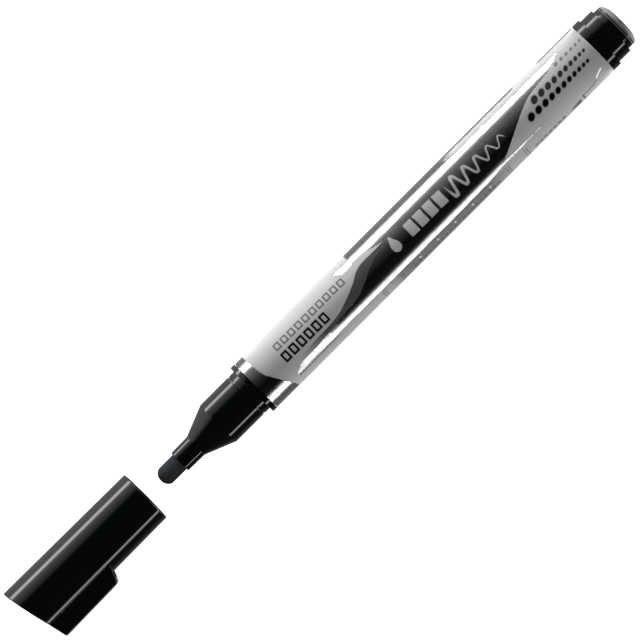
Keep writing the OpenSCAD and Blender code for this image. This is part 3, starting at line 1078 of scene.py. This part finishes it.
def softbox(nodes, degrees, middle, half, light, hardness):
    """Light of one softbox, which fades from its middle."""
    off = nodes.math("DIVIDE", nodes.math("ABSOLUTE", nodes.math("SUBTRACT", degrees, middle)), half)
    fade = nodes.math("POWER", 0.5, nodes.math("POWER", off, hardness))
    return nodes.math("MULTIPLY", fade, light)


def tent_material(name, glow, boxes=()):
    """Light by the angle around the marker's axis."""
    material, nodes = blank_material(name)
    coordinates = nodes.add("TexCoord").outputs["Object"]
    offset = nodes.add("VectorMath", {0: coordinates, 1: AXIS_START}, operation="SUBTRACT").outputs[0]
    face = nodes.add("VectorMath", {0: offset, 1: FACE}, operation="DOT_PRODUCT").outputs["Value"]
    away = nodes.add("VectorMath", {0: offset, 1: -CLIPWARD}, operation="DOT_PRODUCT").outputs["Value"]
    degrees = nodes.math("MULTIPLY", nodes.math("ARCTAN2", away, face), math.degrees(1))
    light = nodes.curve(degrees, glow, True)
    for box in boxes:
        light = nodes.math("ADD", light, softbox(nodes, degrees, *box))
    emission = nodes.add("Emission", {"Strength": light})
    nodes.add("OutputMaterial", {"Surface": emission.outputs[0]})
    material.cycles.emission_sampling = "NONE"
    return material


def tent_reach(x):
    """Where a mirror image seen at x on the marker meets the tent, which is further out along the axis."""
    return AIM.x + (x - AIM.x) * (1 + TENT_R / CAMERA_BACK)


def make_tent(name, rings, material):
    """Open surface of light through rings around the marker, each an x and a radius in metres. Only the
    gloss, and light that has passed through the clear barrel, see it."""
    build = bmesh.new()
    count = 96
    rows = []
    for x, r in rings:
        row = []
        for i in range(count):
            angle = 2 * math.pi * i / count
            around = FACE * math.cos(angle) + CLIPWARD * math.sin(angle)
            row.append(build.verts.new(Vector((x, AXIS_START.y, AXIS_START.z)) + around * r))
        rows.append(row)
    for near, ahead in zip(rows, rows[1:]):
        for i in range(count):
            k = (i + 1) % count
            build.faces.new([near[i], near[k], ahead[k], ahead[i]])
    mesh = bpy.data.meshes.new(name)
    build.to_mesh(mesh)
    build.free()
    mesh.materials.append(material)
    tent = add_object(name, mesh)
    tent.visible_camera = False
    tent.visible_diffuse = False
    tent.visible_shadow = False


def make_lights():
    """Even white surroundings, and a long key light low on the side away from the clip."""
    world = bpy.data.worlds.new("world")
    bpy.context.scene.world = world
    world.use_nodes = True
    background = world.node_tree.nodes["Background"]
    background.inputs["Color"].default_value = (1, 1, 1, 1)
    background.inputs["Strength"].default_value = 1.95
    key = bpy.data.lights.new("key", "AREA")
    key.shape = "RECTANGLE"
    key.size = 1.2
    key.size_y = 0.3
    key.energy = 50
    key_object = add_object("key", key)
    low = math.radians(85)
    key_object.location = AIM + FACE * math.cos(low) - CLIPWARD * math.sin(low)
    key_object.rotation_euler = (AIM - key_object.location).to_track_quat("-Z", "Y").to_euler()
    key_object.visible_glossy = False


def make_tents():
    """The tents that the gloss sees. A wall at each end of the clear barrel parts the barrel's tent from
    the tents of the black mouldings. The rings' places along x are in metres."""
    neck = (BARREL_R + 0.06) * MM
    gap = 0.005 * MM
    far = 2.0
    soft_from = 0.115
    neck_from = 0.0956
    button_from = 0.0985
    front_near = AXIS_START.x + FLANGE_LEN * MM
    front_far = tent_reach(front_near)
    rear_near = AXIS_START.x + PLUG_SEAT * MM
    rear_far = tent_reach(rear_near)
    dark = tent_material("dark_set", FLOOR_GLOW, LOW_STRIPS)
    bright = tent_material("bright_set", BARREL_GLOW, WIDE_BOXES)
    front_wall = [(front_far - gap, TENT_R), (front_near - gap, neck)]
    make_tent("nose_tent", [(-soft_from, TENT_R)] + front_wall, dark)
    make_tent("barrel_tent", [
        (front_near + gap, neck), (front_far + gap, TENT_R), (rear_far - gap, TENT_R),
        (rear_near - gap, neck),
    ], bright)
    rear_wall = [(rear_near + gap, neck), (rear_far + gap, TENT_R)]
    make_tent("plug_tent", rear_wall + [(neck_from, TENT_R)], dark)
    soft = tent_material("soft_set", FLOOR_GLOW)
    make_tent("front_tent", [(-far, TENT_R), (-soft_from, TENT_R)], soft)
    make_tent("neck_tent", [(neck_from, TENT_R), (button_from, TENT_R)], soft)
    make_tent("rear_tent", [(button_from, TENT_R), (far, TENT_R)], tent_material("rear_set", REAR_GLOW))


# -------------------- everything together
bpy.context.scene.view_settings.view_transform = "Standard"
make_camera()
make_floor()
make_lights()
make_tents()

moulded = black_plastic("black_moulding")
cap_moulded = black_plastic("cap_moulding")
satin = surface(
    "button_moulding", (0.001, 0.001, 0.0011), (0.002, 0.002, 0.002), (0.12, 0.18), 0.5, 0.0008,
)
fibre = surface(
    "nib_fibre", (0.0024, 0.0039, 0.0048), (0.004, 0.0058, 0.0072), (0.75, 0.95), 0.12, 0.02, (0.25, 1, 1),
)
wet_fibre = surface(
    "wick_fibre", (0.03, 0.03, 0.032), (0.06, 0.06, 0.064), (0.6, 0.8), 0.12, 0.02, (0.2, 1, 1),
)
ink = surface("black_ink", (0.0005, 0.0005, 0.0006), (0.0008, 0.0008, 0.0008), (0.2, 0.3), 2.0, 0.0005)
wetted = surface(
    "wetted_moulding", (0.0003, 0.0003, 0.0004), (0.0006, 0.0006, 0.0006), (0.2, 0.3), 0.9, 0.0003,
)
# there is no air between these two and the clear barrel, so they have no gloss of their own
for touching in (ink, wetted):
    touching.node_tree.nodes["Principled BSDF"].inputs["Specular IOR Level"].default_value = 0.0
stained = surface("stained_moulding", (0.002, 0.002, 0.002), (0.006, 0.006, 0.006), (0.3, 0.45), 0.6, 0.002)
soft_white = surface("liner_moulding", (0.62, 0.62, 0.6), (0.7, 0.7, 0.68), (0.35, 0.5), 0.5, 0.002)

make_barrel(clear_plastic())
make_film(printed_film())
make_ink(ink)
make_nose(moulded)
make_spigot(wetted)
make_nib(fibre)
make_plug(moulded)
make_button(satin)
make_cap(cap_moulded)
make_liner(soft_white)
make_clip(cap_moulded)
make_grip_rib(cap_moulded)

for node, material in (("feed_wick", wet_fibre), ("ink_collector", stained), ("tank_divider", stained)):
    data = frame["nodes"][node].data
    data.materials.clear()
    data.materials.append(material)
